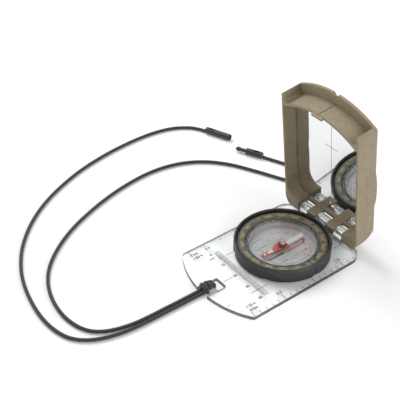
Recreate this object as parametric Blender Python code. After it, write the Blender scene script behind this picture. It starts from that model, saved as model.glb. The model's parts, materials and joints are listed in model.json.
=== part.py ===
"""Mirror sighting compass with a folding lid and a lanyard, modelled at rest with the lid standing open.

World frame: +X across the plate, +Y the direction of travel, +Z up. The origin is on the plate's underside, on its
centre line between the capsule and the lanyard slot. The design is drawn round the capsule axis, which a parent
empty places CAPSULE_Y in front of that origin. Sizes are in millimetres, turned into metres by MM in each mesh.
"""

import math

import bmesh
import bpy
from mathutils import Vector

MM = 0.001
GAP = 0.3

# Driving dimensions, in mm.
CAPSULE_Y = 33.0
PLATE_HALF = 29.2
PLATE_THICK = 2.4
PLATE_HINGE_END = 31.4
PLATE_CORD_END = -53.1
PLATE_END_RADIUS = 51.0
HINGE_Y = 30.6
HINGE_Z = 6.4
LID_OPEN_DEG = 83.2
LID_HALF = 27.3
LID_RIM = -3.7
LID_BACK = 8.9
LID_PANEL = 1.6
LID_SIDE_END = 73.4
LID_TIP = 80.9
END_WALL = 74.5
END_WALL_RADIUS = 50.6
MIRROR_FACE = 4.9
FOOT_HALF = 16.8
FOOT_END = 5.0
BARREL_RADIUS = 3.7
PIN_RADIUS = 0.8
BORE_RADIUS = 1.1
BEZEL_RADIUS = 25.8
BEZEL_TOP = 10.3
BEZEL_FLOOR = PLATE_THICK + GAP
DIAL_OUTER = 23.9
DIAL_INNER = 19.9
DIAL_TOP = 8.3
CAPSULE_RADIUS = 19.5
CAPSULE_WALL = 1.6
DOME_RADIUS = 17.5
DOME_TOP = 9.5
NEEDLE_Z = 5.0
NEEDLE_HALF = 14.6
CORD_RADIUS = 1.0
CORD_Z = 1.05
SLOT_HALF = 3.9
SLOT_NEAR = -41.0
SLOT_FAR = -46.6
KNUCKLES = ((-15.9, -10.4), (-3.8, 3.8), (10.4, 15.9))
KNUCKLE_ROOM = ((-17.1, -10.1), (-4.1, 4.1), (10.1, 17.1))

# Hand-laid routes of the two lanyard strands on the floor, from the hitch to each connector.
OUTER_ROUTE = (
    (-0.3, -53.3), (-0.5, -60.0), (-0.6, -67.0), (-0.8, -75.0), (-1.0, -83.0), (-1.3, -91.0), (-2.2, -99.0),
    (-4.2, -107.0), (-7.4, -114.0), (-12.0, -119.6), (-18.6, -123.4), (-29.0, -125.4), (-42.0, -124.9),
    (-57.8, -121.7), (-72.7, -116.0), (-88.2, -106.2), (-103.5, -91.2), (-115.7, -73.0), (-125.4, -50.5),
    (-130.8, -29.0), (-133.2, -8.3), (-132.9, 9.8), (-129.8, 23.0), (-124.0, 32.0), (-118.8, 36.0),
    (-114.8, 37.9),
)
INNER_ROUTE = (
    (-2.7, -53.3), (-2.8, -60.0), (-2.9, -67.0), (-3.1, -75.0), (-3.3, -83.0), (-4.0, -92.0), (-6.1, -101.0),
    (-9.1, -107.3), (-13.4, -111.9), (-20.0, -115.0), (-30.0, -116.4), (-43.0, -114.8), (-55.8, -109.8),
    (-66.7, -101.6), (-76.8, -89.4), (-85.6, -74.0), (-93.7, -52.8), (-98.7, -31.7), (-100.0, -12.8),
    (-96.8, 3.8), (-89.2, 17.1), (-78.0, 27.2), (-63.6, 35.2), (-48.0, 42.6), (-39.6, 47.2), (-33.8, 53.4),
    (-31.4, 61.6), (-33.0, 69.6), (-38.6, 73.2), (-44.8, 70.0), (-49.4, 62.4), (-55.6, 55.6), (-63.4, 51.6),
    (-71.2, 48.2),
)


def clear_scene():
    for item in list(bpy.data.objects):
        bpy.data.objects.remove(item, do_unlink=True)


def material(name, colour, roughness, metallic=0.0, transmission=0.0):
    made = bpy.data.materials.new(name)
    made.use_nodes = True
    shader = made.node_tree.nodes["Principled BSDF"]
    shader.inputs["Base Color"].default_value = (*colour, 1.0)
    shader.inputs["Roughness"].default_value = roughness
    shader.inputs["Metallic"].default_value = metallic
    shader.inputs["Transmission Weight"].default_value = transmission
    made.diffuse_color = (*colour, 1.0)
    return made


def add_object(name, mesh, paint=None):
    made = bpy.data.objects.new(name, mesh)
    bpy.context.scene.collection.objects.link(made)
    if paint:
        mesh.materials.append(paint)
    return made


def mesh_from(name, work):
    bmesh.ops.recalc_face_normals(work, faces=work.faces)
    mesh = bpy.data.meshes.new(name)
    work.to_mesh(mesh)
    work.free()
    return mesh


def arc(centre, radius, start_deg, end_deg, steps):
    """Points along a circular arc, both ends included."""
    turn = [math.radians(start_deg + (end_deg - start_deg) * i / steps) for i in range(steps + 1)]
    return [(centre[0] + radius * math.cos(a), centre[1] + radius * math.sin(a)) for a in turn]


def bulge(radius, centre_v, half_width, steps):
    """An arc of a circle centred on the second axis, from +half_width to -half_width, on its far side."""
    reach = math.degrees(math.asin(half_width / radius))
    return arc((0.0, centre_v), radius, 90.0 - reach, 90.0 + reach, steps)


def fillet(before, corner, after, radius, steps=6):
    corner = Vector(corner)
    one = (Vector(before) - corner).normalized()
    two = (Vector(after) - corner).normalized()
    half = one.angle(two) / 2
    centre = corner + (one + two).normalized() * radius / math.sin(half)
    start = corner + one * radius / math.tan(half) - centre
    turn = start.angle_signed(corner + two * radius / math.tan(half) - centre)
    points = []
    for i in range(steps + 1):
        angle = -turn * i / steps
        spun = (start.x * math.cos(angle) - start.y * math.sin(angle),
                start.x * math.sin(angle) + start.y * math.cos(angle))
        points.append((centre.x + spun[0], centre.y + spun[1]))
    return points


def rounded(corners):
    """An outline from (x, y, radius) corners; a radius of 0 leaves the corner sharp."""
    outline = []
    for i, (x, y, radius) in enumerate(corners):
        if radius:
            after = corners[(i + 1) % len(corners)]
            outline += fillet(corners[i - 1][:2], (x, y), after[:2], radius)
        else:
            outline.append((x, y))
    return outline


def prism(name, outline, low, high, axis="Z", paint=None):
    """A straight solid over an outline. Along Z the outline is (x, y); along X it is (y, z)."""
    work = bmesh.new()
    if axis == "Z":
        rim = [work.verts.new((a * MM, b * MM, low * MM)) for a, b in outline]
        along = Vector((0, 0, (high - low) * MM))
    else:
        rim = [work.verts.new((low * MM, a * MM, b * MM)) for a, b in outline]
        along = Vector(((high - low) * MM, 0, 0))
    face = work.faces.new(rim)
    grown = bmesh.ops.extrude_face_region(work, geom=[face])
    moved = [item for item in grown["geom"] if isinstance(item, bmesh.types.BMVert)]
    bmesh.ops.translate(work, verts=moved, vec=along)
    return add_object(name, mesh_from(name, work), paint)


def lathe(name, profile, segments=72, paint=None, wave=None, axis="Z"):
    """A solid of revolution about Z, or about X, from a closed (radius, height) profile."""
    work = bmesh.new()
    rings = []
    for i in range(segments):
        angle = math.tau * i / segments
        ring = []
        for radius, height in profile:
            reach = radius - (wave(angle, radius) if wave else 0.0)
            across, side = reach * math.cos(angle) * MM, reach * math.sin(angle) * MM
            place = (across, side, height * MM) if axis == "Z" else (height * MM, across, side)
            ring.append(work.verts.new(place))
        rings.append(ring)
    for i, ring in enumerate(rings):
        following = rings[(i + 1) % segments]
        for j in range(len(profile)):
            k = (j + 1) % len(profile)
            if profile[j][0] == 0 and profile[k][0] == 0:
                continue
            work.faces.new((ring[j], following[j], following[k], ring[k]))
    bmesh.ops.remove_doubles(work, verts=work.verts, dist=1e-7)
    return add_object(name, mesh_from(name, work), paint)


def boolean(target, tool, operation):
    step = target.modifiers.new(operation.title() + " " + tool.name, "BOOLEAN")
    step.object = tool
    step.operation = operation
    step.solver = "EXACT"
    tool.hide_render = True
    tool.display_type = "WIRE"
    if target.parent:
        tool.parent = target.parent


def cut(target, tool):
    boolean(target, tool, "DIFFERENCE")


def join(target, tool):
    boolean(target, tool, "UNION")


def keep_common(target, tool):
    boolean(target, tool, "INTERSECT")


def bake(item):
    """Turns an item's cuts into its mesh, so that placing it afterwards can't disturb them."""
    bpy.context.view_layer.update()
    graph = bpy.context.evaluated_depsgraph_get()
    shaped = bpy.data.meshes.new_from_object(item.evaluated_get(graph))
    item.modifiers.clear()
    item.data = shaped


def box_outline(low_a, high_a, low_b, high_b):
    return [(low_a, low_b), (high_a, low_b), (high_a, high_b), (low_a, high_b)]


def plate_outline():
    """Straight sides, a round lanyard end and round corners towards the hinge."""
    cord_end = bulge(PLATE_END_RADIUS, 0.0, 27.0, 18)
    centre_y = PLATE_CORD_END + PLATE_END_RADIUS
    end = [(-x, centre_y - y, 0.0) for x, y in cord_end]
    corner_y = centre_y - math.sqrt(PLATE_END_RADIUS**2 - PLATE_HALF**2)
    return rounded(
        end
        + [(PLATE_HALF, corner_y, 2.6), (PLATE_HALF, PLATE_HINGE_END, 8.0)]
        + [(-PLATE_HALF, PLATE_HINGE_END, 8.0), (-PLATE_HALF, corner_y, 2.6)]
    )


def plate_knuckle(low, high, index):
    """A clear eye that stands on the plate and carries the hinge pin."""
    radius = 3.4
    front = HINGE_Y - radius
    eye = arc((HINGE_Y, HINGE_Z), radius, 180, -90, 24)
    outline = [(front, PLATE_THICK - 1.0)] + eye + [(HINGE_Y, PLATE_THICK - 1.0)]
    return prism(f"plate_knuckle_tool_{index}", outline, low, high, axis="X")


def axle(name, radius, low, high, segments=28):
    """A cylinder along X, on the X axis."""
    profile = [(0.0, low), (radius, low), (radius, high), (0.0, high)]
    return lathe(name, profile, segments, axis="X")


def make_baseplate(paint):
    plate = prism("baseplate", plate_outline(), 0.0, PLATE_THICK, paint=paint)
    for index, (low, high) in enumerate(KNUCKLES):
        join(plate, plate_knuckle(low, high, index))
    bore = axle("plate_bore_tool", BORE_RADIUS, -20.0, 20.0)
    bore.location = (0, HINGE_Y * MM, HINGE_Z * MM)
    cut(plate, bore)
    seat = [(0.0, -1.0), (23.4, -1.0), (23.4, 1.3), (21.6, 1.3), (21.6, 4.0), (0.0, 4.0)]
    cut(plate, lathe("capsule_seat_tool", seat, 72))
    slot = rounded([
        (-SLOT_HALF, SLOT_FAR, 0.6), (SLOT_HALF, SLOT_FAR, 0.6),
        (SLOT_HALF, SLOT_NEAR, 0.6), (-SLOT_HALF, SLOT_NEAR, 0.6),
    ])
    cut(plate, prism("lanyard_slot_tool", slot, -1.0, 4.0))
    notch = rounded([(-4.6, -60.0, 0), (3.4, -60.0, 0), (3.4, -50.6, 1.2), (-4.6, -50.6, 1.2)])
    cut(plate, prism("lanyard_notch_tool", notch, -1.0, 4.0))
    under_bar = box_outline(-4.6, 3.4, -56.0, -44.0)
    cut(plate, prism("under_bar_tool", under_bar, -1.0, 1.5))
    return plate


def make_dial(bezel_paint, dial_paint):
    """The black grip ring with its hub, and the graduated ring that lies inside it."""
    profile = [
        (19.8, 0.4), (20.6, 0.4), (20.6, 1.3), (21.3, 1.3), (21.3, BEZEL_FLOOR),
        (BEZEL_RADIUS, BEZEL_FLOOR), (BEZEL_RADIUS, BEZEL_TOP - 0.9), (BEZEL_RADIUS - 0.8, BEZEL_TOP),
        (24.9, BEZEL_TOP), (24.2, BEZEL_TOP - 0.7), (24.2, 4.2), (19.8, 4.2),
    ]

    def grip(angle, radius):
        return 0.55 * max(0.0, math.cos(6 * angle)) ** 12 if radius > 25.0 else 0.0

    bezel = lathe("bezel_ring", profile, 192, bezel_paint, grip)
    dial = [
        (DIAL_INNER, 4.5), (DIAL_OUTER, 4.5), (DIAL_OUTER, DIAL_TOP), (DIAL_INNER + 0.5, DIAL_TOP),
        (DIAL_INNER, DIAL_TOP - 0.5),
    ]
    ring = lathe("dial_ring", dial, 96, dial_paint)
    keeper = [(20.9, 0.4), (23.0, 0.4), (23.0, 1.0), (20.9, 1.0)]
    return bezel, ring, lathe("retaining_ring", keeper, 72, bezel_paint)


def make_capsule(clear_paint, print_paint, seal_paint):
    """Clear cup and domed cover with the printed orienting disc on the cup's floor."""
    inner = CAPSULE_RADIUS - CAPSULE_WALL
    cup = [
        (0.0, 0.5), (CAPSULE_RADIUS - 0.6, 0.5), (CAPSULE_RADIUS, 1.1), (CAPSULE_RADIUS, 6.4),
        (inner, 6.4), (inner, 2.5), (0.0, 2.5),
    ]
    dome = [
        (0.0, 8.5), (16.0, 8.5), (16.4, 8.1), (16.4, 7.4), (CAPSULE_RADIUS, 7.4), (CAPSULE_RADIUS, 8.0),
        (DOME_RADIUS, 8.0), (DOME_RADIUS - 0.1, 8.8), (DOME_RADIUS - 0.8, DOME_TOP), (0.0, DOME_TOP),
    ]
    seal = [(18.1, 6.7), (19.3, 6.7), (19.3, 7.1), (18.1, 7.1)]
    disc = [(1.4, 2.8), (17.3, 2.8), (17.3, 3.2), (1.4, 3.2)]
    lathe("capsule_cup", cup, 72, clear_paint)
    lathe("capsule_dome", dome, 72, clear_paint)
    lathe("capsule_seal", seal, 72, seal_paint)
    lathe("orienting_disc", disc, 72, print_paint)


def needle_outline():
    """A broad wedge for the north half, pointing to -Y, and a narrow bar for the south half."""
    return rounded([
        (-3.1, -1.2, 0.6), (-1.25, -6.6, 0), (-1.1, -NEEDLE_HALF + 1.2, 0), (0.0, -NEEDLE_HALF, 0),
        (1.1, -NEEDLE_HALF + 1.2, 0), (1.25, -6.6, 0), (3.1, -1.2, 0.6), (3.1, 2.2, 0.8), (1.15, 4.0, 0),
        (1.15, NEEDLE_HALF, 0.5), (-1.15, NEEDLE_HALF, 0.5), (-1.15, 4.0, 0), (-3.1, 2.2, 0.8),
    ])


def make_needle(needle_paint, hub_paint, steel_paint):
    """Blade, black hub and bright bearing cap, which swing together on a fixed pivot pin."""
    blade = prism("compass_needle", needle_outline(), NEEDLE_Z - 0.25, NEEDLE_Z + 0.25, paint=needle_paint)
    eye = [(0.0, 3.0), (2.3, 3.0), (2.3, 7.0), (0.0, 7.0)]
    cut(blade, lathe("needle_eye_tool", eye, 32))
    hub = [(0.8, 4.3), (1.5, 4.3), (2.0, 4.7), (2.0, 5.9), (1.6, 6.4), (0.8, 6.4)]
    lathe("needle_hub", hub, 32, hub_paint)
    cap = [(0.8, 6.7), (1.3, 6.7), (1.3, 7.2), (0.9, 7.7), (0.0, 7.8), (0.0, 7.2), (0.8, 6.9)]
    lathe("jewel_cap", cap, 24, steel_paint)
    pin = [(0.0, 2.8), (1.1, 2.8), (1.1, 3.4), (0.45, 3.8), (0.45, 6.2), (0.12, 6.85), (0.0, 6.85)]
    lathe("pivot_pin", pin, 20, steel_paint)


def lid_hinge():
    """The empty on the lid's joint axis. The lid's parts are built closed around it and tilt open with it."""
    hinge = bpy.data.objects.new("lid_hinge", None)
    bpy.context.scene.collection.objects.link(hinge)
    hinge.location = (0, HINGE_Y * MM, HINGE_Z * MM)
    hinge.rotation_euler = (-math.radians(LID_OPEN_DEG), 0, 0)
    return hinge


def lid_plan(points):
    """Lid outlines are drawn as (x, distance from the hinge axis); closed, the lid lies towards -Y."""
    return [(x, -u) for x, u in points]


def mirrored(right_side):
    """A symmetric outline from its right half, listed from the hinge end to the tip."""
    return right_side + [(-x, u) for x, u in reversed(right_side)]


def bezel_relief(radius, half_width, steps=8):
    """The right-hand arc that clears the bezel where the straight wall at half_width would touch it."""
    reach = math.degrees(math.acos(half_width / radius))
    return arc((0.0, HINGE_Y), radius, -reach, reach, steps)


def outer_plan():
    tip_radius = (LID_HALF**2 + (LID_TIP - LID_SIDE_END) ** 2) / (2 * (LID_TIP - LID_SIDE_END))
    corner = fillet((0, LID_RIM), (LID_HALF, LID_RIM), (LID_HALF, 20.0), 9.0, 8)
    tip = bulge(tip_radius, LID_TIP - tip_radius, LID_HALF - 2.0, 24)[:12]
    side_end = (LID_HALF, LID_SIDE_END)
    shoulder = fillet((LID_HALF, 50.0), side_end, tip[0], 1.8, 4)
    return mirrored(corner + shoulder + tip)


def side_grip(name, side):
    """A finger grip that swells from the side wall towards the lid's back."""
    work = bmesh.new()
    for i in range(13):
        along = 36.0 + 12.0 * math.cos(math.pi * i / 12)
        swell = LID_HALF - 0.3 + 2.1 * math.sin(math.pi * i / 12)
        work.verts.new((side * swell * MM, -along * MM, (LID_BACK - 0.6) * MM))
        work.verts.new((side * (swell - 0.6 * (swell > LID_HALF)) * MM, -along * MM, (LID_BACK - 0.05) * MM))
    for along in (24.0, 48.0):
        work.verts.new((side * (LID_HALF - 0.3) * MM, -along * MM, 1.0 * MM))
    hull = bmesh.ops.convex_hull(work, input=work.verts)
    inside = [item for item in hull["geom_interior"] if isinstance(item, bmesh.types.BMVert)]
    bmesh.ops.delete(work, geom=inside, context="VERTS")
    return add_object(name, mesh_from(name, work))


def inner_plan():
    wall = 26.2
    arc_radius = END_WALL_RADIUS - 1.5
    centre = END_WALL - END_WALL_RADIUS
    corner = fillet((10.0, 5.4), (wall, 5.4), (wall, 20.0), 8.0, 8)
    end = bulge(arc_radius, centre, wall - 1.0, 24)[:12]
    top = (wall, centre + math.sqrt(arc_radius**2 - wall**2))
    shoulder = fillet((wall, 50.0), top, end[0], 0.6, 3)
    return mirrored([(17.0, 3.4), (17.0, 5.4)] + corner + bezel_relief(26.6, wall) + shoulder + end)


def recess_plan():
    """The open pocket beyond the end wall, between the side walls and under the overhanging panel."""
    half = 25.6
    centre = END_WALL - END_WALL_RADIUS
    floor = bulge(END_WALL_RADIUS, centre, half - 2.2, 24)[:12]
    low = (half, centre + math.sqrt(END_WALL_RADIUS**2 - half**2))
    shoulder = fillet(floor[0], low, (half, 90.0), 1.6, 5)
    return mirrored(list(reversed(floor)) + shoulder + [(half, 90.0)])


def outer_profile():
    """Side view (y, z): barrel round the hinge, 45 degree back slope, flat back and flat rim."""
    barrel = arc((0.0, 0.0), BARREL_RADIUS, 90.0, -90.0, 24)
    slope = [(-1.2, 3.5), (-6.6, LID_BACK)]
    return [(-90.0, LID_RIM), (-90.0, LID_BACK)] + slope[::-1] + barrel


def inner_profile():
    panel = LID_BACK - LID_PANEL
    return [(-3.4, -6.0), (-3.4, 3.86), (-6.84, panel), (-90.0, panel), (-90.0, -6.0)]


def knuckle_room(low, high, index):
    """The space round a plate knuckle that the lid keeps clear through its whole swing."""
    radius = 3.8
    round_part = arc((0.0, 0.0), radius, 100.0, -90.0, 22)
    outline = [(-3.6, -5.0), (-3.6, 3.9)] + round_part + [(0.0, -5.0)]
    return prism(f"knuckle_room_tool_{index}", outline, low, high, axis="X")


def make_mirror_cover(hinge, paint):
    cover = prism("mirror_cover", lid_plan(outer_plan()), LID_RIM - 1.0, LID_BACK + 1.0, paint=paint)
    keep_common(cover, prism("lid_profile_tool", outer_profile(), -40.0, 40.0, axis="X"))
    catch = prism("lid_catch_tool", [(-71.5, -5.4), (-74.0, -5.4), (-74.2, -4.6), (-74.2, 1.0), (-71.5, 1.0)],
                  -3.5, 3.5, axis="X")
    join(cover, catch)
    for side in (-1, 1):
        join(cover, side_grip(f"side_grip_tool_{side + 1}", side))
    cavity = prism("lid_cavity_tool", lid_plan(inner_plan()), -8.0, LID_BACK - LID_PANEL)
    keep_common(cavity, prism("lid_cavity_profile_tool", inner_profile(), -40.0, 40.0, axis="X"))
    cut(cover, cavity)
    recess = prism("lid_recess_tool", lid_plan(recess_plan()), -8.0, LID_BACK - LID_PANEL)
    cut(cover, recess)
    foot_room = box_outline(-FOOT_HALF - 0.4, FOOT_HALF + 0.4, -6.6, -FOOT_END + 0.3)
    cut(cover, prism("mirror_foot_tool", foot_room, 3.6, MIRROR_FACE + 1.5))
    for index, (low, high) in enumerate(KNUCKLE_ROOM):
        cut(cover, knuckle_room(low, high, index))
    cut(cover, axle("lid_bore_tool", BORE_RADIUS, -30.0, 24.2, 30))
    notch = [(-3.3, -LID_TIP - 1.7), (3.3, -LID_TIP - 1.7), (0.0, -LID_TIP + 2.1)]
    cut(cover, prism("sight_notch_tool", notch, 5.0, 12.0))
    groove = box_outline(-0.35, 0.35, -END_WALL - 0.3, -END_WALL + 0.35)
    cut(cover, prism("sight_groove_tool", groove, -8.0, LID_BACK - LID_PANEL))
    window = lid_plan([(-2.3, 4.9), (2.3, 4.9), (0.9, 11.2), (-0.9, 11.2)])
    cut(cover, prism("sight_window_tool", window, -2.0, 12.0))
    bake(cover)
    cover.parent = hinge
    return cover


def mirror_plan(side, start, end_gap, corner):
    """A glass outline inside the tray: round lower corners, arched top, and a foot behind the hinge with a sight notch."""
    arc_radius = END_WALL_RADIUS - 1.5 - end_gap
    centre = END_WALL - END_WALL_RADIUS
    low = fillet((0, start), (side, start), (side, 30.0), corner, 8)
    top = bulge(arc_radius, centre, side - 0.3, 24)[:12]
    foot = [(0.0, start + 5.6), (3.16, FOOT_END), (FOOT_HALF, FOOT_END), (FOOT_HALF, start)]
    return mirrored(foot + low + top)


def make_mirror(hinge, glass_paint, pad_paint):
    outline = mirror_plan(25.9, 6.2, 0.3, 7.7)
    glass = prism("mirror", lid_plan(outline[1:]), MIRROR_FACE, MIRROR_FACE + 1.2, paint=glass_paint)
    pad_outline = rounded([(-23.0, -13.5, 3), (23.0, -13.5, 3), (23.0, -62.0, 3), (-23.0, -62.0, 3)])
    pad = prism("mirror_pad", pad_outline, 6.4, 7.0, paint=pad_paint)
    for item in (glass, pad):
        item.parent = hinge
    return glass


def make_hinge_hardware(steel_paint, washer_paint):
    pin = axle("hinge_pin", PIN_RADIUS, -24.0, 23.8)
    pin.data.materials.append(steel_paint)
    pin.location = (0, HINGE_Y * MM, HINGE_Z * MM)
    for side, low in (("left", -16.8), ("right", 16.2)):
        profile = [(1.1, low), (2.9, low), (2.9, low + 0.6), (1.1, low + 0.6)]
        washer = lathe(f"friction_washer_{side}", profile, 28, washer_paint, axis="X")
        washer.location = (0, HINGE_Y * MM, HINGE_Z * MM)


def smooth_route(route, spacing):
    """Even points on a Catmull-Rom curve through the route."""
    points = [Vector(p) for p in route]
    ends = [2 * points[0] - points[1]] + points + [2 * points[-1] - points[-2]]
    fine = []
    for i in range(1, len(ends) - 2):
        a, b, c, d = ends[i - 1:i + 3]
        for j in range(12):
            t = j / 12
            fine.append(0.5 * ((2 * b) + (c - a) * t + (2 * a - 5 * b + 4 * c - d) * t * t
                               + (3 * b - a - 3 * c + d) * t**3))
    fine.append(points[-1])
    even = [fine[0]]
    travelled = 0.0
    for before, after in zip(fine, fine[1:]):
        travelled += (after - before).length
        if travelled >= spacing:
            even.append(after)
            travelled = 0.0
    if (even[-1] - fine[-1]).length < spacing / 2:
        even.pop()
    return even + [fine[-1]]


def make_strand(name, route, paint):
    curve = bpy.data.curves.new(name, "CURVE")
    curve.dimensions = "3D"
    curve.bevel_depth = CORD_RADIUS * MM
    curve.bevel_resolution = 2
    curve.use_fill_caps = True
    points = smooth_route(route, 5.2)
    line = curve.splines.new("POLY")
    line.points.add(len(points) - 1)
    for slot, point in zip(line.points, points):
        slot.co = (point.x * MM, point.y * MM, CORD_Z * MM, 1)
    curve.materials.append(paint)
    strand = bpy.data.objects.new(name, curve)
    bpy.context.scene.collection.objects.link(strand)
    return strand


def make_hitch(paint):
    """The lark's head round the bar between the slot and the plate's end, both strands wide."""
    outer = rounded([(-53.0, 0.1, 1.0), (-44.3, 0.1, 0.8), (-44.3, 4.6, 1.9), (-53.0, 4.6, 1.9)])
    inner = rounded([(-50.9, 1.2, 0.1), (-46.3, 1.2, 0.1), (-46.3, 2.7, 0.3), (-50.9, 2.7, 0.3)])
    hitch = prism("lanyard_hitch", outer, -3.6, 0.6, axis="X", paint=paint)
    cut(hitch, prism("hitch_inside_tool", inner, -10.0, 10.0, axis="X"))
    soften = hitch.modifiers.new("Soft edges", "BEVEL")
    soften.width = 0.5 * MM
    soften.segments = 2
    soften.limit_method = "ANGLE"
    soften.angle_limit = math.radians(60)
    return hitch


def connector(name, profile, start, end, paint, slot_from):
    """A moulded lanyard end along the floor from its cord hole to its mating end."""
    run = Vector(end) - Vector(start)
    body = lathe(name, profile, 28, paint, axis="X")
    slot = prism(name + "_slot_tool", box_outline(-0.7, 0.7, 0.9, 5.0), slot_from, slot_from + 4.0, axis="X")
    for item in (body, slot):
        item.location = (start[0] * MM, start[1] * MM, 2.1 * MM)
        item.rotation_euler = (0, 0, math.atan2(run.y, run.x))
    cut(body, slot)
    return body


def make_lanyard(cord_paint, plastic_paint):
    make_hitch(cord_paint)
    make_strand("lanyard_outer_strand", OUTER_ROUTE, cord_paint)
    make_strand("lanyard_inner_strand", INNER_ROUTE, cord_paint)
    socket = [(0.0, 0.0), (1.5, 0.0), (2.0, 0.6), (2.0, 17.0), (1.8, 17.4), (1.45, 17.4), (1.45, 9.0), (0.0, 9.0)]
    connector("socket_connector", socket, (-114.5, 38.1), (-98.2, 44.6), plastic_paint, 2.2)
    plug = [(0.0, 0.0), (1.5, 0.0), (2.0, 0.6), (2.0, 10.4), (1.7, 10.8), (1.15, 10.8), (1.15, 14.6),
            (1.35, 15.2), (1.35, 16.4), (0.8, 17.4), (0.0, 17.4)]
    connector("plug_connector", plug, (-71.6, 48.0), (-87.6, 40.2), plastic_paint, 2.2)


def place_on_frame():
    """Puts the capsule axis, and everything drawn round it, at its place in the world frame."""
    axis = bpy.data.objects.new("capsule_axis", None)
    bpy.context.scene.collection.objects.link(axis)
    axis.location = (0, CAPSULE_Y * MM, 0)
    for item in bpy.data.objects:
        if item.parent is None and item is not axis:
            item.parent = axis


def build():
    clear_scene()
    acrylic = material("clear acrylic", (0.9, 0.92, 0.92), 0.05, transmission=0.9)
    bezel_black = material("bezel black", (0.03, 0.03, 0.03), 0.45)
    olive = material("dial olive", (0.2, 0.19, 0.12), 0.5)
    printed = material("printed disc", (0.75, 0.75, 0.75), 0.4)
    seal = material("seal rubber", (0.05, 0.05, 0.05), 0.8)
    needle = material("needle paint", (0.7, 0.08, 0.04), 0.35)
    hub = material("hub black", (0.02, 0.02, 0.02), 0.4)
    steel = material("bright steel", (0.75, 0.75, 0.75), 0.2, metallic=1.0)
    tan = material("lid tan", (0.33, 0.28, 0.2), 0.55)
    mirror = material("mirror glass", (0.9, 0.9, 0.9), 0.02, metallic=1.0)
    pad = material("mirror pad", (0.6, 0.6, 0.58), 0.8)
    nylon = material("washer nylon", (0.8, 0.78, 0.7), 0.5)
    cord = material("cord dark", (0.05, 0.05, 0.05), 0.9)
    plastic = material("connector black", (0.04, 0.04, 0.04), 0.5)

    make_baseplate(acrylic)
    make_dial(bezel_black, olive)
    make_capsule(acrylic, printed, seal)
    make_needle(needle, hub, steel)
    hinge = lid_hinge()
    make_mirror_cover(hinge, tan)
    make_mirror(hinge, mirror, pad)
    make_hinge_hardware(steel, nylon)
    make_lanyard(cord, plastic)
    place_on_frame()


build()
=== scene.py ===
"""Looks of the mirror sighting compass: materials, printed scales, needle inserts and a braided lanyard.

Lengths are in millimetres from the capsule's axis at floor level, and mm() turns them into the shared frame's
metres. Texture scales, bump distances, the lamps and the floor are in metres from the start.
"""

import json
import math

import bmesh
import bpy
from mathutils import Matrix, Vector

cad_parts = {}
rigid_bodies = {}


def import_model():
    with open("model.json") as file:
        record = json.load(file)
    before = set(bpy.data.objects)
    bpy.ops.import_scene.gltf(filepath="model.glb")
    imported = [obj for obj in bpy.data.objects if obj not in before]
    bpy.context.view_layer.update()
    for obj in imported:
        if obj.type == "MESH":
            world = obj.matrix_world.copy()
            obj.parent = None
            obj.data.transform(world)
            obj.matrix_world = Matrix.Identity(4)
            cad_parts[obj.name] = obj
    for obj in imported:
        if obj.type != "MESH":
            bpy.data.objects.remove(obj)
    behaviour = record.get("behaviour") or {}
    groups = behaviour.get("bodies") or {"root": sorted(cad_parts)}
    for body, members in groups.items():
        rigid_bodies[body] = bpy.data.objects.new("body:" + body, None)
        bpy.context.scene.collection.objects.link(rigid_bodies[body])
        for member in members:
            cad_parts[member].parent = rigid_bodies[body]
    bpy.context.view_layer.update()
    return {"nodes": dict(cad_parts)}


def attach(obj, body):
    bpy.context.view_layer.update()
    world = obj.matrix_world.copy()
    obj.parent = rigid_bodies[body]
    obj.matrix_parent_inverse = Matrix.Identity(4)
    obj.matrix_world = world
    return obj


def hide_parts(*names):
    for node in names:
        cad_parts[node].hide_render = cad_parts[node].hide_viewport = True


CAPSULE_Y = 33.0
PLATE_TOP, DISC_TOP, DIAL_TOP = 2.4, 3.2, 8.3
HINGE_Y, HINGE_Z, LID_OPEN = 30.6, 6.4, math.radians(83.2)
MIRROR_FACE = 4.9
HINGE_BLOCK_TOP = 5.4
NEEDLE_WHITE_FROM = 3.0
LUME_LOW, LUME_HIGH, LUME_HALF = 5.25, 5.36, 0.72
PRINT_LIFT = 0.03
TICK, RULE_TICK, RULE_LINE = 0.34, 0.2, 0.26
CORD_RADIUS, CORD_Z, CORD_STEP = 1.0, 1.05, 0.45
KNOT_RADIUS, KNOT_STEP = 1.15, 0.3
BRAID_SIDES, BRAID_PITCH, BRAID_YARNS = 16, 2.6, 4
FLOOR_HALF_M, FLOOR_Z_M = 6.0, -0.00015

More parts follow.
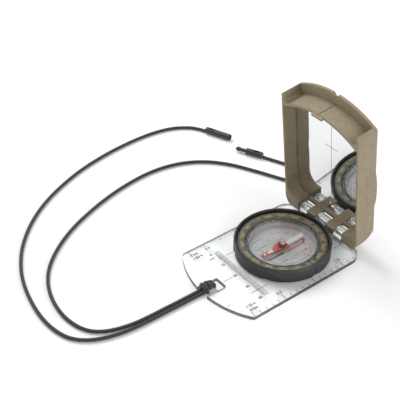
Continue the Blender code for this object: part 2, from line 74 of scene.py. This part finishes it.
# Floor routes of the two strands, the same ones that the frame's tubes follow.
OUTER_ROUTE = (
    (-0.3, -53.3), (-0.5, -60.0), (-0.6, -67.0), (-0.8, -75.0), (-1.0, -83.0), (-1.3, -91.0), (-2.2, -99.0),
    (-4.2, -107.0), (-7.4, -114.0), (-12.0, -119.6), (-18.6, -123.4), (-29.0, -125.4), (-42.0, -124.9),
    (-57.8, -121.7), (-72.7, -116.0), (-88.2, -106.2), (-103.5, -91.2), (-115.7, -73.0), (-125.4, -50.5),
    (-130.8, -29.0), (-133.2, -8.3), (-132.9, 9.8), (-129.8, 23.0), (-124.0, 32.0), (-118.8, 36.0),
    (-114.8, 37.9),
)
INNER_ROUTE = (
    (-2.7, -53.3), (-2.8, -60.0), (-2.9, -67.0), (-3.1, -75.0), (-3.3, -83.0), (-4.0, -92.0), (-6.1, -101.0),
    (-9.1, -107.3), (-13.4, -111.9), (-20.0, -115.0), (-30.0, -116.4), (-43.0, -114.8), (-55.8, -109.8),
    (-66.7, -101.6), (-76.8, -89.4), (-85.6, -74.0), (-93.7, -52.8), (-98.7, -31.7), (-100.0, -12.8),
    (-96.8, 3.8), (-89.2, 17.1), (-78.0, 27.2), (-63.6, 35.2), (-48.0, 42.6), (-39.6, 47.2), (-33.8, 53.4),
    (-31.4, 61.6), (-33.0, 69.6), (-38.6, 73.2), (-44.8, 70.0), (-49.4, 62.4), (-55.6, 55.6), (-63.4, 51.6),
    (-71.2, 48.2),
)


def mm(x, y, z):
    return Vector((x, y + CAPSULE_Y, z)) / 1000.0


def lid_mm(x, along, depth):
    """A point on the open lid: across, up from the hinge axis, and back from the rim side."""
    return mm(
        x,
        HINGE_Y - along * math.cos(LID_OPEN) + depth * math.sin(LID_OPEN),
        HINGE_Z + along * math.sin(LID_OPEN) + depth * math.cos(LID_OPEN),
    )


# ---------- materials ----------


class Paint:
    """A node material built round one Principled shader, with patterns in object coordinates."""

    def __init__(self, name, colour, roughness, metallic=0.0, **sockets):
        self.material = bpy.data.materials.new(name)
        self.material.use_nodes = True
        self.tree = self.material.node_tree
        self.shader = self.tree.nodes["Principled BSDF"]
        self.set("Base Color", (*colour, 1.0))
        self.set("Roughness", roughness)
        self.set("Metallic", metallic)
        for key, value in sockets.items():
            self.set(key.replace("_", " "), value)
        self.place = None
        self.normal = None

    def set(self, socket, value):
        self.shader.inputs[socket].default_value = value

    def node(self, kind, **settings):
        made = self.tree.nodes.new(kind)
        for key, value in settings.items():
            setattr(made, key, value)
        return made

    def link(self, out, into):
        self.tree.links.new(out, into)

    def coordinates(self):
        if self.place is None:
            self.place = self.node("ShaderNodeTexCoord").outputs["Object"]
        return self.place

    def noise(self, scale, detail=3.0, roughness=0.55, stretch=None):
        made = self.node("ShaderNodeTexNoise")
        made.inputs["Scale"].default_value = scale
        made.inputs["Detail"].default_value = detail
        made.inputs["Roughness"].default_value = roughness
        where = self.coordinates()
        if stretch:
            mapping = self.node("ShaderNodeMapping")
            mapping.inputs["Scale"].default_value = stretch
            self.link(where, mapping.inputs["Vector"])
            where = mapping.outputs["Vector"]
        self.link(where, made.inputs["Vector"])
        return made.outputs["Fac"]

    def ramp(self, factor, *stops):
        made = self.node("ShaderNodeValToRGB")
        elements = made.color_ramp.elements
        while len(elements) < len(stops):
            elements.new(0.5)
        for element, (where, colour) in zip(elements, stops):
            element.position = where
            element.color = (*colour, 1.0)
        self.link(factor, made.inputs["Fac"])
        return made.outputs["Color"]

    def mix(self, factor, first, second, blend="MIX"):
        made = self.node("ShaderNodeMix", data_type="RGBA", blend_type=blend)
        if isinstance(factor, (int, float)):
            made.inputs["Factor"].default_value = factor
        else:
            self.link(factor, made.inputs["Factor"])
        for socket, value in ((made.inputs[6], first), (made.inputs[7], second)):
            if isinstance(value, tuple):
                socket.default_value = (*value, 1.0)
            else:
                self.link(value, socket)
        return made.outputs[2]

    def math(self, operation, a, b=None):
        made = self.node("ShaderNodeMath", operation=operation)
        for socket, value in zip(made.inputs, (a, b)):
            if value is None:
                continue
            if isinstance(value, (int, float)):
                socket.default_value = value
            else:
                self.link(value, socket)
        return made.outputs[0]

    def colour(self, out):
        self.link(out, self.shader.inputs["Base Color"])
        return self

    def roughen(self, factor, low, high):
        """Roughness between low and high as the factor goes from 0 to 1."""
        made = self.node("ShaderNodeMapRange")
        made.inputs["To Min"].default_value = low
        made.inputs["To Max"].default_value = high
        self.link(factor, made.inputs["Value"])
        self.link(made.outputs["Result"], self.shader.inputs["Roughness"])
        return self

    def bump(self, height, strength, distance):
        made = self.node("ShaderNodeBump")
        made.inputs["Strength"].default_value = strength
        made.inputs["Distance"].default_value = distance
        self.link(height, made.inputs["Height"])
        if self.normal is not None:
            self.link(self.normal, made.inputs["Normal"])
        self.normal = made.outputs["Normal"]
        self.link(self.normal, self.shader.inputs["Normal"])
        return self


def clear_paint(name, tint, roughness=0.02, milky=0.0, cut_edges=0.0, thin=0.35, haze_and_edge_shade=(0.5, 0.51, 0.51)):
    """Clear plastic that lets lamplight through.

    milky is a share of grey diffuse all over, a cloud in the plastic, and cut_edges a share of it on the
    upright sides that are no higher than the plate. On the baseplate that diffuse is dark grey: painted shade
    that darkens its cut edges.
    The colour argument after cut_edges sets the diffuse's colour. thin is the share of sight that passes
    straight through.
    """
    paint = Paint(name, tint, roughness, Transmission_Weight=1.0, IOR=1.49)
    # A diffuse for the milky cup, and on the baseplate's cut sides a dark grey one that is painted shade.
    haze_and_shade_diffuse = paint.node("ShaderNodeBsdfDiffuse")
    haze_and_shade_diffuse.inputs["Color"].default_value = (*haze_and_edge_shade, 1.0)
    normal = paint.node("ShaderNodeSeparateXYZ")
    paint.link(paint.node("ShaderNodeNewGeometry").outputs["True Normal"], normal.inputs[0])
    place = paint.node("ShaderNodeSeparateXYZ")
    paint.link(paint.coordinates(), place.inputs[0])
    upright = paint.math("LESS_THAN", paint.math("ABSOLUTE", normal.outputs["Z"]), 0.5)
    low = paint.math("LESS_THAN", place.outputs["Z"], (PLATE_TOP + 0.02) / 1000.0)
    # On the baseplate this share paints shade: dark grey diffuse on the upright cut sides.
    edges = paint.math("MULTIPLY", paint.math("MULTIPLY", upright, low), cut_edges)
    share = paint.math("ADD", edges, milky)
    hazed_and_shaded = paint.node("ShaderNodeMixShader")
    paint.link(share, hazed_and_shaded.inputs["Fac"])
    paint.link(paint.shader.outputs["BSDF"], hazed_and_shaded.inputs[1])
    paint.link(haze_and_shade_diffuse.outputs["BSDF"], hazed_and_shaded.inputs[2])
    through = paint.node("ShaderNodeBsdfTransparent")
    through.inputs["Color"].default_value = (0.93, 0.935, 0.94, 1.0)
    passed = paint.math("MAXIMUM", paint.node("ShaderNodeLightPath").outputs["Is Shadow Ray"], thin)
    mixer = paint.node("ShaderNodeMixShader")
    paint.link(passed, mixer.inputs["Fac"])
    paint.link(hazed_and_shaded.outputs["Shader"], mixer.inputs[1])
    paint.link(through.outputs["BSDF"], mixer.inputs[2])
    paint.link(mixer.outputs["Shader"], paint.tree.nodes["Material Output"].inputs["Surface"])
    return paint


def lid_paint():
    """Fine-textured tan moulding with tiny dark and light specks."""
    paint = Paint("lid tan", (0.36, 0.30, 0.21), 0.6, Specular_IOR_Level=0.35)
    base = paint.ramp(paint.noise(260.0, 2.0), (0.3, (0.290, 0.239, 0.158)), (0.7, (0.324, 0.268, 0.178)))
    specks = paint.ramp(paint.noise(2100.0, 2.0, 0.7), (0.33, (0.45, 0.43, 0.40)), (0.45, (1.0, 1.0, 1.0)))
    light = paint.ramp(paint.noise(4300.0, 1.0), (0.62, (0.0, 0.0, 0.0)), (0.74, (0.10, 0.10, 0.09)))
    shade = paint.mix(1.0, base, specks, "MULTIPLY")
    paint.colour(paint.mix(1.0, shade, light, "ADD"))
    paint.roughen(paint.noise(900.0), 0.5, 0.72)
    return paint.bump(paint.noise(2600.0, 3.0), 0.35, 0.00008)


def bezel_paint():
    """Satin black moulding, a little lighter along its sharp edges: a painted highlight where they catch the
    light.
    """
    paint = Paint("bezel black", (0.03, 0.03, 0.032), 0.45, Specular_IOR_Level=0.45)
    shade = paint.ramp(paint.noise(700.0), (0.35, (0.011, 0.011, 0.012)), (0.65, (0.020, 0.020, 0.021)))
    # Painted highlight: the colour turns lighter on the sharp convex edges.
    corners = paint.node("ShaderNodeNewGeometry").outputs["Pointiness"]
    edge = paint.ramp(corners, (0.52, (0, 0, 0)), (0.60, (0.022, 0.022, 0.022)))
    paint.colour(paint.mix(1.0, shade, edge, "ADD"))
    paint.roughen(paint.noise(1500.0), 0.38, 0.6)
    return paint.bump(paint.noise(3200.0, 2.0), 0.25, 0.00005)


def dial_paint():
    """Olive luminous ring with a slightly grainy face."""
    paint = Paint("dial olive", (0.24, 0.22, 0.13), 0.5)
    grain = paint.noise(2600.0, 3.0, 0.7)
    shade = paint.ramp(grain, (0.36, (0.140, 0.126, 0.075)), (0.64, (0.320, 0.284, 0.174)))
    paint.colour(shade)
    return paint.bump(paint.noise(5000.0, 1.0), 0.15, 0.00003)


def disc_paint():
    paint = Paint("printed disc", (0.6, 0.6, 0.6), 0.35)
    shade = paint.ramp(paint.noise(160.0, 2.0), (0.3, (0.46, 0.46, 0.455)), (0.7, (0.51, 0.51, 0.505)))
    return paint.colour(shade)


def brushed_steel():
    paint = Paint("bright steel", (0.72, 0.72, 0.72), 0.2, metallic=1.0)
    grain = paint.noise(900.0, 3.0, stretch=(0.15, 4.0, 4.0))
    paint.roughen(grain, 0.12, 0.34)
    return paint.bump(grain, 0.1, 0.00002)


def needle_paint():
    """Red from the north tip to a little past the pivot, and white from there to the south tip."""
    paint = Paint("needle enamel", (0.6, 0.05, 0.03), 0.32, Coat_Weight=0.3)
    split = paint.node("ShaderNodeSeparateXYZ")
    paint.link(paint.coordinates(), split.inputs[0])
    south = paint.math("GREATER_THAN", split.outputs["Y"], (CAPSULE_Y + NEEDLE_WHITE_FROM) / 1000.0)
    grain = paint.noise(1800.0)
    red = paint.ramp(grain, (0.3, (0.46, 0.035, 0.018)), (0.7, (0.60, 0.060, 0.030)))
    white = paint.ramp(grain, (0.3, (0.72, 0.72, 0.68)), (0.7, (0.82, 0.82, 0.78)))
    return paint.colour(paint.mix(south, red, white))


def mirror_paint():
    paint = Paint("mirror glass", (0.86, 0.875, 0.87), 0.02, metallic=1.0)
    return paint.roughen(paint.noise(120.0, 2.0), 0.012, 0.03)


def plain_paint(name, low, high, roughness, scale=1500.0, bump=0.15, **sockets):
    paint = Paint(name, low, roughness, **sockets)
    grain = paint.noise(scale)
    paint.colour(paint.ramp(grain, (0.35, low), (0.65, high)))
    return paint.bump(grain, bump, 0.00004)


def braid_paint():
    """Dark braided cord: two sets of yarns that cross, from the tube's own wrap coordinates."""
    paint = Paint("braided cord", (0.03, 0.03, 0.03), 0.75, Sheen_Weight=0.25, Sheen_Roughness=0.5)
    where = paint.node("ShaderNodeUVMap", uv_map="wrap").outputs["UV"]
    split = paint.node("ShaderNodeSeparateXYZ")
    paint.link(where, split.inputs[0])
    around = paint.math("MULTIPLY", split.outputs["X"], 8 * math.tau)
    along = paint.math("MULTIPLY", split.outputs["Y"], math.tau)
    one = paint.math("SINE", paint.math("ADD", around, along))
    other = paint.math("SINE", paint.math("SUBTRACT", around, along))
    weave = paint.math("MULTIPLY", paint.math("ADD", paint.math("MULTIPLY", one, other), 1.0), 0.5)
    shade = paint.ramp(weave, (0.1, (0.012, 0.012, 0.013)), (0.8, (0.046, 0.046, 0.048)))
    fuzz = paint.ramp(paint.noise(2200.0, 4.0, 0.7), (0.3, (0.6, 0.6, 0.6)), (0.7, (1.15, 1.15, 1.15)))
    paint.colour(paint.mix(1.0, shade, fuzz, "MULTIPLY"))
    return paint.bump(weave, 0.7, 0.0002)


# ---------- printed marks, and a painted shade strip ---


class Ink:
    """Thin flat marks collected into one mesh on one face of the object: print, and the painted shade strip
    under the mirror.
    """

    def __init__(self, name, place, paint):
        self.name, self.place, self.paint = name, place, paint
        self.work = bmesh.new()

    def face(self, outline):
        self.work.faces.new([self.work.verts.new(self.place(x, y)) for x, y in outline])

    def line(self, start, end, width, end_width=None):
        a, b = Vector(start), Vector(end)
        across = Vector((-(b - a).y, (b - a).x)).normalized()
        wa, wb = width / 2, (end_width or width) / 2
        self.face([a - across * wa, b - across * wb, b + across * wb, a + across * wa])

    def arc(self, radius, start, end, width, centre=(0.0, 0.0), steps=24):
        turn = [math.radians(start + (end - start) * i / steps) for i in range(steps + 1)]
        inner, outer = radius - width / 2, radius + width / 2
        for a, b in zip(turn, turn[1:]):
            ring = ((inner, a), (outer, a), (outer, b), (inner, b))
            self.face([(centre[0] + r * math.cos(t), centre[1] + r * math.sin(t)) for r, t in ring])

    def text(self, words, at, height, reading):
        """Words centred at a point, reading along the given direction in degrees."""
        curve = bpy.data.curves.new("lettering", "FONT")
        curve.body = words
        curve.size = height / 0.7
        curve.offset = 0.045 * height
        curve.align_x, curve.align_y = "CENTER", "CENTER"
        curve.resolution_u = 2
        holder = bpy.data.objects.new("lettering", curve)
        bpy.context.scene.collection.objects.link(holder)
        bpy.context.view_layer.update()
        shape = bpy.data.meshes.new_from_object(holder.evaluated_get(bpy.context.evaluated_depsgraph_get()))
        c, s = math.cos(math.radians(reading)), math.sin(math.radians(reading))
        made = []
        for v in shape.vertices:
            x, y = v.co.x, v.co.y
            made.append(self.work.verts.new(self.place(at[0] + x * c - y * s, at[1] + x * s + y * c)))
        for polygon in shape.polygons:
            self.work.faces.new([made[i] for i in polygon.vertices])
        bpy.data.objects.remove(holder, do_unlink=True)
        bpy.data.meshes.remove(shape)
        bpy.data.curves.remove(curve)

    def done(self, body):
        mesh = bpy.data.meshes.new(self.name)
        self.work.normal_update()
        self.work.to_mesh(mesh)
        self.work.free()
        mesh.materials.append(self.paint.material)
        made = bpy.data.objects.new(self.name, mesh)
        bpy.context.scene.collection.objects.link(made)
        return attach(made, body)


def flat_at(height):
    return lambda x, y: mm(x, y, height)


def print_plate(ink):
    """Map scales along both long edges, a millimetre rule across the lanyard end, and sight lines."""
    for k in range(18):
        long = k % 5 == 0
        y = -42.95 + 4 * k
        ink.line((29.0, y), (29.0 - (3.6 if long else 1.9), y), 0.36)
    for k in range(35):
        long = k % 5 == 0
        y = -40.68 + 2 * k
        if y < 24.0:
            ink.line((-29.0, y), (-29.0 + (3.2 if k % 10 == 0 else 2.4 if long else 1.5), y), TICK)
    ink.text("0 km", (24.6, -40.2), 1.7, 90)
    ink.text("1:25 k", (21.8, -40.0), 1.7, 90)
    ink.text("0.5", (24.0, -22.9), 1.8, 90)
    ink.text("1.0", (24.0, -2.9), 1.8, 90)
    ink.text("1.5", (24.0, 17.1), 1.8, 90)
    ink.text("0 km", (-24.9, -39.3), 1.7, 90)
    ink.text("1:50 k", (-22.2, -39.0), 1.7, 90)
    ink.text("0.5", (-24.6, -30.6), 1.7, 90)
    for k in range(4):
        ink.line((-19.3, -30.2 + 0.9 * k), (20.7, -30.2 + 0.9 * k), RULE_LINE)
    for k in range(41):
        reach = 2.7 if k % 10 == 0 else 1.8 if k % 5 == 0 else 0.9
        ink.line((-19.3 + k, -30.2), (-19.3 + k, -30.2 + reach), RULE_TICK)
        if k % 10 == 5:
            ink.line((-19.3 + k, -30.2), (-19.3 + k, -31.1), TICK)
    for k in range(5):
        ink.text(str(10 * k), (-19.3 + 10 * k, -32.6), 1.7, 90)
    ink.text("mm", (-16.6, -34.0), 1.4, 90)
    ink.line((0.7, -40.4), (0.7, -34.3), 0.36)
    ink.line((15.6, -50.0), (15.6, -47.4), TICK)
    ink.line((15.6, -34.6), (15.6, -23.5), TICK)
    ink.line((-14.4, -26.4), (-14.4, -21.5), TICK)
    ink.line((16.1, 22.2), (16.1, 27.4), TICK)
    ink.line((-14.4, 22.6), (-14.4, 27.0), TICK)


def print_dial(ink):
    """Degree marks and numerals, 0 at the index towards the lid, turning clockwise."""
    for k in range(180):
        angle = math.radians(90 - 2 * k)
        inner = 22.0 if k % 5 == 0 else 22.5
        c, s = math.cos(angle), math.sin(angle)
        ink.line((inner * c, inner * s), (23.7 * c, 23.7 * s), 0.6 if k % 5 == 0 else 0.44)
    names = {0: "N", 90: "E", 180: "S", 270: "W"}
    for degrees in range(0, 360, 10):
        if degrees % 20 and degrees not in names:
            continue
        angle = 90 - degrees
        c, s = math.cos(math.radians(angle)), math.sin(math.radians(angle))
        ink.text(names.get(degrees, str(degrees)), (21.0 * c, 21.0 * s), 1.85, angle - 90)
    for radius in (20.25, 23.75):
        ink.arc(radius, 0, 360, 0.25, steps=120)


def print_disc_black(ink):
    """The arrow's two tail bars and the other half of the meridian lines."""
    ink.line((3.3, -1.6), (3.1, -11.8), 1.6, 0.9)
    ink.line((-1.5, -1.6), (-1.3, -11.8), 1.6, 0.9)
    for x, low, high in ((-12.2, -10.6, -3.2), (-6.7, -12.4, -2.8), (8.5, -7.6, -3.4), (12.6, -9.5, -3.4)):
        ink.line((x, low), (x, high), 0.36)


def print_disc_red(ink):
    """The rounded orienting arrow, half of the meridian lines and the declination scale."""
    ink.line((3.6, 1.2), (3.6, 11.0), 1.05)
    ink.line((-1.8, 1.2), (-1.8, 11.0), 1.05)
    ink.arc(2.7, 0, 180, 1.05, (0.9, 11.0), 16)
    for x, low, high in ((8.5, 1.5, 10.1), (-11.9, 2.4, 5.8), (-7.0, 8.4, 12.0), (12.6, 1.5, 8.0)):
        ink.line((x, low), (x, high), 0.36)
    for k in range(25):
        angle = math.radians(30 + 5 * k)
        c, s = math.cos(angle), math.sin(angle)
        inner = 14.6 if k % 2 else 14.0
        ink.line((15.9 * c, 15.9 * s), (inner * c, inner * s), 0.22)
    for k in range(7):
        turn = 30 + 20 * k
        angle = math.radians(turn)
        if k != 3:
            ink.text(str(abs(turn - 90)), (12.7 * math.cos(angle), 12.7 * math.sin(angle)), 1.2, turn - 90)


def print_lid_gap(ink):
    """Painted shade: a dark strip on the left-hand hinge block, under the mirror's lower side, where the gap
    between them lies in shadow.
    """
    ink.line((-22.8, 5.6), (-17.5, 5.6), 0.8)


def print_mirror(ink):
    """The sighting line up the mirror, and a short level line across it."""
    ink.line((0.0, 7.0), (0.0, 71.0), 0.24)
    ink.line((-4.8, 48.6), (4.2, 48.6), 0.3)


# ---------- needle, cord and hitch ----------


def raised_patch(work, outline, low, high):
    """A closed plate with the given outline between two heights."""
    bottom = [work.verts.new(mm(x, y, low)) for x, y in outline]
    top = [work.verts.new(mm(x, y, high)) for x, y in outline]
    work.faces.new(top)
    work.faces.new(list(reversed(bottom)))
    for i in range(len(outline)):
        j = (i + 1) % len(outline)
        work.faces.new([bottom[i], bottom[j], top[j], top[i]])


def needle_inserts(paint):
    """The luminous bar and dot let into the north half of the needle."""
    work = bmesh.new()
    bar = [(-LUME_HALF, -10.0), (LUME_HALF, -10.0), (0.86, -6.7), (-0.86, -6.7)]
    raised_patch(work, bar, LUME_LOW, LUME_HIGH)
    turn = [math.tau * i / 16 for i in range(16)]
    dot = [(LUME_HALF * math.cos(t), -12.0 + LUME_HALF * math.sin(t)) for t in turn]
    raised_patch(work, dot, LUME_LOW, LUME_HIGH)
    mesh = bpy.data.meshes.new("needle_lume")
    work.to_mesh(mesh)
    work.free()
    mesh.materials.append(paint.material)
    made = bpy.data.objects.new("needle_lume", mesh)
    bpy.context.scene.collection.objects.link(made)
    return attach(made, "needle")


def catmull(points, spacing):
    """Even points on a smooth curve through the given ones."""
    ends = [2 * points[0] - points[1]] + points + [2 * points[-1] - points[-2]]
    fine = []
    for a, b, c, d in zip(ends, ends[1:], ends[2:], ends[3:]):
        for i in range(24):
            t = i / 24
            bend, twist = 2 * a - 5 * b + 4 * c - d, 3 * b - a - 3 * c + d
            fine.append(0.5 * (2 * b + (c - a) * t + bend * t * t + twist * t**3))
    fine.append(points[-1].copy())
    reach = [0.0]
    for a, b in zip(fine, fine[1:]):
        reach.append(reach[-1] + (b - a).length)
    count = max(2, round(reach[-1] / spacing))
    even, k = [], 0
    for i in range(count + 1):
        want = reach[-1] * i / count
        while k < len(reach) - 2 and reach[k + 1] < want:
            k += 1
        part = (want - reach[k]) / max(reach[k + 1] - reach[k], 1e-12)
        even.append(fine[k].lerp(fine[k + 1], min(max(part, 0.0), 1.0)))
    return even, reach[-1]


def braided_tube(name, path, radius, paint):
    """A cord mesh along a path, with crossing yarns raised on it and wrap coordinates for its material."""
    work = bmesh.new()
    wrap = work.loops.layers.uv.new("wrap")
    rings, along = [], 0.0
    side = None
    for i, point in enumerate(path):
        ahead = (path[min(i + 1, len(path) - 1)] - path[max(i - 1, 0)]).normalized()
        if side is None:
            side = ahead.cross(Vector((0, 0, 1)) if abs(ahead.z) < 0.9 else Vector((1, 0, 0))).normalized()
        side = (side - ahead * side.dot(ahead)).normalized()
        up = side.cross(ahead)
        if i:
            along += (point - path[i - 1]).length
        ring = []
        for k in range(BRAID_SIDES):
            turn = math.tau * k / BRAID_SIDES
            wind = math.tau * along / BRAID_PITCH
            weave = math.sin(BRAID_YARNS * turn + wind) * math.sin(BRAID_YARNS * turn - wind)
            r = radius * (0.96 + 0.05 * weave)
            spot = point + (side * math.cos(turn) + up * math.sin(turn)) * r
            ring.append(work.verts.new(mm(spot.x, spot.y, spot.z)))
        rings.append((ring, along))
    for (a, s), (b, t) in zip(rings, rings[1:]):
        for k in range(BRAID_SIDES):
            j = (k + 1) % BRAID_SIDES
            face = work.faces.new([a[k], a[j], b[j], b[k]])
            face.smooth = True
            around = ((k, s), (k + 1, s), (k + 1, t), (k, t))
            for loop, (n, reach) in zip(face.loops, around):
                loop[wrap].uv = (n / BRAID_SIDES, reach / BRAID_PITCH)
    work.faces.new(rings[0][0][::-1])
    work.faces.new(rings[-1][0])
    bmesh.ops.recalc_face_normals(work, faces=work.faces)
    mesh = bpy.data.meshes.new(name)
    work.to_mesh(mesh)
    work.free()
    mesh.materials.append(paint.material)
    made = bpy.data.objects.new(name, mesh)
    bpy.context.scene.collection.objects.link(made)
    return made


def strand(name, node, route, paint):
    """One braided strand of the lanyard from the hitch to its connector."""
    path, length = catmull([Vector((x, y, CORD_Z)) for x, y in route], CORD_STEP)
    piece = braided_tube(name, path, CORD_RADIUS, paint)
    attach(piece, "base")
    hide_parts(node)
    return piece


def hitch(paint):
    """A knot on the bar beside the slot.

    Both strands pass over the bar and down into the slot, and two bands of cord lie across them.
    """
    whole = None
    loops = [
        [(-2.7, -53.3, 1.1), (-2.7, -52.0, 1.5), (-2.6, -50.6, 2.9), (-2.5, -48.4, 3.8), (-2.5, -46.4, 3.5),
         (-2.4, -45.35, 2.2), (-2.4, -45.35, 1.0)],
        [(-0.3, -53.3, 1.1), (-0.3, -52.0, 1.5), (-0.4, -50.6, 2.9), (-0.5, -48.4, 3.8), (-0.5, -46.4, 3.5),
         (-0.6, -45.35, 2.2), (-0.6, -45.35, 1.0)],
        [(-3.6, -50.4, 1.1), (-3.9, -50.8, 2.4), (-3.2, -51.1, 3.9), (-1.5, -51.2, 4.5), (0.2, -51.1, 3.9),
         (0.9, -50.8, 2.4), (0.6, -50.4, 1.1)],
        [(-3.6, -48.5, 2.7), (-3.3, -48.6, 3.6), (-1.5, -48.8, 4.6), (0.3, -48.6, 3.6), (0.6, -48.5, 2.7)],
    ]
    for index, loop in enumerate(loops):
        path, _ = catmull([Vector(p) for p in loop], KNOT_STEP)
        tube = braided_tube(f"lanyard_knot_{index}", path, KNOT_RADIUS, paint)
        if whole is None:
            whole = tube
            continue
        work = bmesh.new()
        work.from_mesh(whole.data)
        work.from_mesh(tube.data)
        work.to_mesh(whole.data)
        work.free()
        bpy.data.objects.remove(tube, do_unlink=True)
    whole.name = "lanyard_knot"
    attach(whole, "base")
    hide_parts("lanyard_hitch")
    return whole


# ---------- staging ----------


def make_camera():
    data = bpy.data.cameras.new("view")
    data.lens, data.sensor_width = 82.9, 36.0
    camera = bpy.data.objects.new("view", data)
    bpy.context.scene.collection.objects.link(camera)
    camera.location = mm(264.5, -258.2, 324.2)
    camera.rotation_euler = (math.radians(51.83), 0.0, math.radians(52.43))
    bpy.context.scene.camera = camera


def area_light(name, place, target, size, power):
    """A round white lamp. The place, target and size are in metres, and the power in watts."""
    data = bpy.data.lights.new(name, "AREA")
    data.shape, data.size, data.energy = "DISK", size, power
    lamp = bpy.data.objects.new(name, data)
    bpy.context.scene.collection.objects.link(lamp)
    lamp.location = Vector(place)
    lamp.rotation_euler = (Vector(target) - Vector(place)).to_track_quat("-Z", "Y").to_euler()


def make_stage():
    scene = bpy.context.scene
    scene.view_settings.view_transform = "Standard"
    world = bpy.data.worlds.new("studio")
    scene.world = world
    world.use_nodes = True
    background = world.node_tree.nodes["Background"]
    background.inputs["Color"].default_value = (1.0, 1.0, 1.0, 1.0)
    background.inputs["Strength"].default_value = 0.62
    mesh = bpy.data.meshes.new("floor")
    half = FLOOR_HALF_M
    corners = [(x, y, FLOOR_Z_M) for x, y in ((-half, -half), (half, -half), (half, half), (-half, half))]
    mesh.from_pydata(corners, [], [(0, 1, 2, 3)])
    floor = bpy.data.objects.new("floor", mesh)
    scene.collection.objects.link(floor)
    # The floor glows faintly through its emission: painted light that makes the shadows cast on it lighter.
    paint = Paint(
        "studio floor", (0.9, 0.9, 0.9), 0.9, Specular_IOR_Level=0.1,
        Emission_Color=(1.0, 1.0, 1.0, 1.0), Emission_Strength=0.05,
    )
    mesh.materials.append(paint.material)
    area_light("key", (-0.74, 0.02, 0.92), (0.0, 0.03, 0.0), 0.8, 7.6)
    area_light("side", (0.85, 0.25, 0.55), (0.0, 0.05, 0.03), 0.7, 3.6)


def lanyard():
    """The knot and both strands, in place of the frame's plain band and tubes."""
    cord = braid_paint()
    knot = hitch(cord)
    strand("lanyard_cord_outer", "lanyard_outer_strand", OUTER_ROUTE, cord)
    strand("lanyard_cord_inner", "lanyard_inner_strand", INNER_ROUTE, cord)


def paint_nodes(nodes):
    """A material for every solid of the frame but the hitch and the two strands."""
    # The baseplate's cut edges get a dark grey diffuse: painted shade standing in for the dark look of those
    # edges.
    acrylic = clear_paint(
        "clear acrylic", (0.97, 0.98, 0.98), cut_edges=0.75, thin=0.12, haze_and_edge_shade=(0.10, 0.105, 0.105),
    )
    dome = clear_paint("dome acrylic", (0.96, 0.97, 0.965), thin=0.82)
    cup = clear_paint(
        "cup acrylic", (0.93, 0.94, 0.935), 0.12, milky=0.88, thin=0.05, haze_and_edge_shade=(0.56, 0.565, 0.56),
    )
    black = bezel_paint()
    steel = brushed_steel()
    plastic = plain_paint("connector black", (0.018, 0.018, 0.019), (0.034, 0.034, 0.036), 0.38)
    paints = {
        "baseplate": acrylic, "capsule_cup": cup, "capsule_dome": dome,
        "bezel_ring": black, "retaining_ring": black, "dial_ring": dial_paint(),
        "capsule_seal": plain_paint("seal rubber", (0.02, 0.02, 0.02), (0.04, 0.04, 0.04), 0.7),
        "orienting_disc": disc_paint(), "compass_needle": needle_paint(),
        "needle_hub": plain_paint("hub black", (0.012, 0.012, 0.012), (0.03, 0.03, 0.03), 0.35),
        "jewel_cap": steel, "pivot_pin": steel, "hinge_pin": steel, "mirror_cover": lid_paint(),
        "mirror": mirror_paint(),
        "mirror_pad": plain_paint("foam pad", (0.5, 0.5, 0.48), (0.62, 0.62, 0.6), 0.9, 900.0),
        "friction_washer_left": plain_paint("washer nylon", (0.6, 0.58, 0.5), (0.68, 0.66, 0.58), 0.4),
        "friction_washer_right": plain_paint("washer nylon", (0.6, 0.58, 0.5), (0.68, 0.66, 0.58), 0.4),
        "socket_connector": plastic, "plug_connector": plastic,
    }
    for name, paint in paints.items():
        nodes[name].data.materials.clear()
        nodes[name].data.materials.append(paint.material)


def printed_paint(name, low, high):
    return plain_paint(name, low, high, 0.5, 2500.0, 0.05)


def marks():
    """Every printed mark, the painted shade strip under the mirror, and the needle's luminous inserts."""
    black = printed_paint("printed black and gap shade", (0.02, 0.02, 0.02), (0.035, 0.035, 0.035))
    red = printed_paint("printed red", (0.50, 0.045, 0.035), (0.58, 0.065, 0.05))
    grey = printed_paint("mirror line", (0.16, 0.16, 0.16), (0.22, 0.22, 0.22))
    lume = printed_paint("luminous paint", (0.80, 0.82, 0.72), (0.88, 0.9, 0.8))

    def on_mirror(x, along):
        return lid_mm(x, along, MIRROR_FACE - PRINT_LIFT)

    def on_hinge_block(x, depth):
        return lid_mm(x, HINGE_BLOCK_TOP + PRINT_LIFT, depth)

    for name, place, ink, draw, body in (
        ("plate_scales", flat_at(PLATE_TOP + PRINT_LIFT), black, print_plate, "base"),
        ("dial_graduations", flat_at(DIAL_TOP + PRINT_LIFT), black, print_dial, "dial"),
        ("disc_lines_black", flat_at(DISC_TOP + PRINT_LIFT), black, print_disc_black, "dial"),
        ("disc_lines_red", flat_at(DISC_TOP + 2 * PRINT_LIFT), red, print_disc_red, "dial"),
        ("mirror_sight_lines", on_mirror, grey, print_mirror, "lid"),
        # Painted shade, not print: the dark strip in the gap under the mirror.
        ("mirror_gap_painted_shade", on_hinge_block, black, print_lid_gap, "lid"),
    ):
        piece = Ink(name, place, ink)
        draw(piece)
        piece.done(body)
    needle_inserts(lume)


def main():
    for item in list(bpy.data.objects):
        bpy.data.objects.remove(item, do_unlink=True)
    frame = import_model()
    make_camera()
    lanyard()
    paint_nodes(frame["nodes"])
    marks()
    make_stage()


main()
